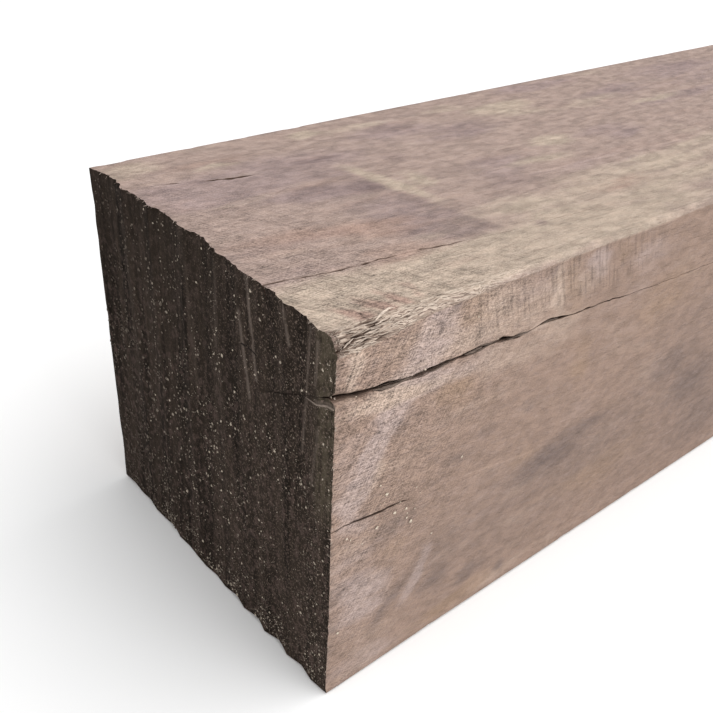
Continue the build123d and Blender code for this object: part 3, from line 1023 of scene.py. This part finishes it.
END_STREAKS = (  # paler scrapes on the docked end: start and end as (y, z), half width, strength
    ((-18.6, 99.6), (-22.3, 76), 1, 0.75), ((-15.8, 90), (-19.5, 70), 1, 0.65),
    ((-32.2, 99), (-34.2, 91), 0.8, 0.65), ((-41, 98), (-38.8, 68), 0.8, 0.5),
    ((-44.1, 97), (-43.3, 87), 1, 0.5), ((-44.5, 77), (-42.1, 61), 0.8, 0.4),
    ((-49.6, 85.4), (-43.5, 83), 0.9, 0.8), ((8, 99), (4, 60), 1.6, 0.12),
    ((-7, 97), (-5, 76), 1.4, 0.15),
)
# The end's dark nicks are painted shade of small cracks.
END_CRACKS = (((-16.1, 82.4), (-19.6, 82.7), 0.5), ((-19.6, 82.7), (-22.8, 82.4), 0.4))  # dark nicks


def end_material(name, streaks=(), cracks=()):
    """End grain, dark with preservative, with upright saw bands and fine dust."""
    sh = Shader(name)
    place = sh.millimetres()
    _, y, z = sh.node("SeparateXYZ", {0: place})
    flat = sh.join(y, z)
    broad = sh.noise(flat, (5, 90, 1), 3, 0.6)
    fine = sh.noise(flat, (1.1, 30, 1), 3, 0.65, 20)
    mottle = sh.noise(place, (1.6, 1.6, 2.2), 4, 0.65)
    grit = sh.noise(place, (0.5, 0.5), 3, 0.7, 10)
    colour = sh.mix(sh.span(broad, 0.36, 0.64), rgb(28, 23, 19), rgb(52, 44, 38))
    colour = sh.mix(sh.span(fine, 0.45, 0.8, 0, 0.35), colour, rgb(70, 60, 52))
    mauve = sh.times(sh.span(mottle, 0.48, 0.64, 0, 0.55), sh.span(z, 95, 45, 0.4, 1))
    colour = sh.mix(mauve, colour, rgb(86, 71, 66))
    edge = sh.times(sh.span(y, -HALF + 8, -HALF + 4), sh.span(z, 48, 62))
    edge = sh.times(edge, sh.span(sh.add(mottle, fine), 0.8, 1.15, 0.2, 0.95))
    colour = sh.mix(edge, colour, rgb(80, 72, 60))
    scraped = sh.vector("ADD", flat, sh.vector("MULTIPLY", sh.grey(mottle), (0.7, 0, 0)))
    for *streak, strength in streaks:
        mark = sh.times(sh.stroke(scraped, *streak), strength)
        mark = sh.times(mark, sh.span(fine, 0.3, 0.6, 0.4, 1))
        colour = sh.mix(mark, colour, rgb(112, 100, 92))
    # painted shade in the nicks
    for crack in cracks:
        colour = sh.mix(sh.stroke(scraped, *crack), colour, rgb(22, 18, 16))
    crisp = sh.span(y, -HALF, 30, 1, 0.15)
    colour = sh.mix(sh.times(sh.span(grit, 0.53, 0.68), crisp), colour, rgb(116, 101, 91))
    # Painted shade where the splits and the worn arris's pits meet the docked end.
    hollow_shade = sh.attribute("hollow_shade")["Fac"]
    colour = sh.mix(sh.span(hollow_shade, 0.3, 2, 0, 0.5), colour, rgb(30, 25, 22))
    height = sh.times_add(fine, 0.6, sh.times(grit, 0.6))
    height = sh.times_add(mottle, 0.5, height)
    return sh.surface(colour, sh.span(mottle, 0.3, 0.7, 0.98, 0.8), height, 0.4, specular=0.04)


def loose_material(name, dark, pale, fine):
    """Splinters or sawdust: each shape in its own shade, with fine fibres."""
    sh = Shader(name)
    grain = sh.noise(sh.millimetres(), fine, 3, 0.6)
    colour = sh.mix(sh.attribute("shade")["Fac"], dark, pale)
    colour = sh.mix(1, colour, sh.grey(sh.span(grain, 0.3, 0.7, 0.65, 1.15)), "MULTIPLY")
    return sh.surface(colour, 0.85, grain, 0.1)


# Stage

CAMERA_PLACE = (-84.11, -149.93, 180.35)  # millimetres in the post's own frame
CAMERA_AZIMUTH, CAMERA_ELEVATION, CAMERA_ROLL = (math.radians(a) for a in (48.618, -32.601, 3.651))
FOCAL_PIXELS, FRAME_PIXELS = 866.22, 713
SENSOR = 36
SURROUND = 0.75  # brightness of the white world
FLOOR_COLOUR = (0.9, 0.9, 0.9, 1)
FLOOR_REACH, FLOOR_DROP = 12, 0.0005  # metres
SOFTBOXES = (  # name, place, target and size in metres, power in watts
    ("overhead", (0.2, -0.9, 2.4), (-0.2, 0, 0), (3.2, 2.2), 60),
    ("near_side", (-0.2, -2.2, 0.9), (-0.6, 0, 0.05), (1.6, 1.2), 14),
)


def add_camera():
    """The camera that took in the docked end, turned to the photograph's view."""
    forward = Vector((
        math.cos(CAMERA_ELEVATION) * math.cos(CAMERA_AZIMUTH),
        math.cos(CAMERA_ELEVATION) * math.sin(CAMERA_AZIMUTH),
        math.sin(CAMERA_ELEVATION),
    ))
    level = forward.cross(Vector((0, 0, 1))).normalized()
    upright = level.cross(forward)
    right = math.cos(CAMERA_ROLL) * level + math.sin(CAMERA_ROLL) * upright
    up = math.cos(CAMERA_ROLL) * upright - math.sin(CAMERA_ROLL) * level
    data = bpy.data.cameras.new("camera")
    data.sensor_width = SENSOR
    data.lens = FOCAL_PIXELS / FRAME_PIXELS * SENSOR
    data.clip_start = 0.01
    camera = bpy.data.objects.new("camera", data)
    bpy.context.scene.collection.objects.link(camera)
    turned = Matrix((right, up, -forward)).transposed().to_4x4()
    turned.translation = (Vector(CAMERA_PLACE) + Vector((END_X, 0, 0))) * MM
    camera.matrix_world = turned
    bpy.context.scene.camera = camera


def add_softbox(name, place, target, size, power):
    data = bpy.data.lights.new(name, "AREA")
    data.shape = "RECTANGLE"
    data.size, data.size_y = size
    data.energy = power
    lamp = bpy.data.objects.new(name, data)
    bpy.context.scene.collection.objects.link(lamp)
    lamp.location = place
    lamp.rotation_euler = (Vector(target) - Vector(place)).to_track_quat("-Z", "Y").to_euler()


def add_stage():
    """A pale floor, an even bright surround and two soft lights."""
    scene = bpy.context.scene
    scene.view_settings.view_transform = "Standard"
    world = bpy.data.worlds.new("surround")
    world.use_nodes = True
    background = world.node_tree.nodes["Background"].inputs
    background["Color"].default_value = (1, 1, 1, 1)
    background["Strength"].default_value = SURROUND
    scene.world = world
    mesh = bpy.data.meshes.new("floor")
    signs = ((-1, -1), (1, -1), (1, 1), (-1, 1))
    corners = [(u * FLOOR_REACH, v * FLOOR_REACH, CAD_LOW.z - FLOOR_DROP) for u, v in signs]
    mesh.from_pydata(corners, [], [(0, 1, 2, 3)])
    mesh.materials.append(Shader("floor_pale").matt(FLOOR_COLOUR, roughness=0.9, specular=0.1))
    floor = bpy.data.objects.new("floor", mesh)
    scene.collection.objects.link(floor)
    for softbox in SOFTBOXES:
        add_softbox(*softbox)


add_camera()
add_stage()
top_timber = sawn_material(
    "timber_top",
    Palette(rgb(156, 137, 128), rgb(148, 130, 126), rgb(171, 155, 140), rgb(157, 132, 120), rgb(112, 96, 96)),
    contrast=1.2, streaky=0.12,
    across=lambda sh, y, z: sh.add(y, HALF), lines=TOP_LINES, ribs=TOP_RIBS,
)
near_timber = sawn_material(
    "timber_near",
    Palette(rgb(143, 122, 110), rgb(161, 143, 136), rgb(175, 155, 141), rgb(148, 125, 108), rgb(108, 95, 91)),
    contrast=1.55, streaky=0.05,
    across=lambda sh, y, z: sh.minus(HEIGHT, z), lines=NEAR_LINES, ribs=NEAR_RIBS,
)
plain_timber = sawn_material(
    "timber_plain",
    Palette(
        rgb(146, 127, 116), rgb(139, 121, 116), rgb(166, 149, 134), rgb(146, 125, 109), rgb(118, 102, 97)
    ),
    contrast=1.2, streaky=0.1,
)
docked_end = end_material("end_docked", END_STREAKS, END_CRACKS)
far_end = end_material("end_far")
build_post((top_timber, near_timber, plain_timber, docked_end, far_end))
build_splinters(loose_material("splinter", rgb(84, 70, 62), rgb(208, 191, 176), (1.2, 0.25)))
build_sawdust(loose_material("sawdust", rgb(70, 59, 52), rgb(204, 190, 172), (0.3, 0.3)))
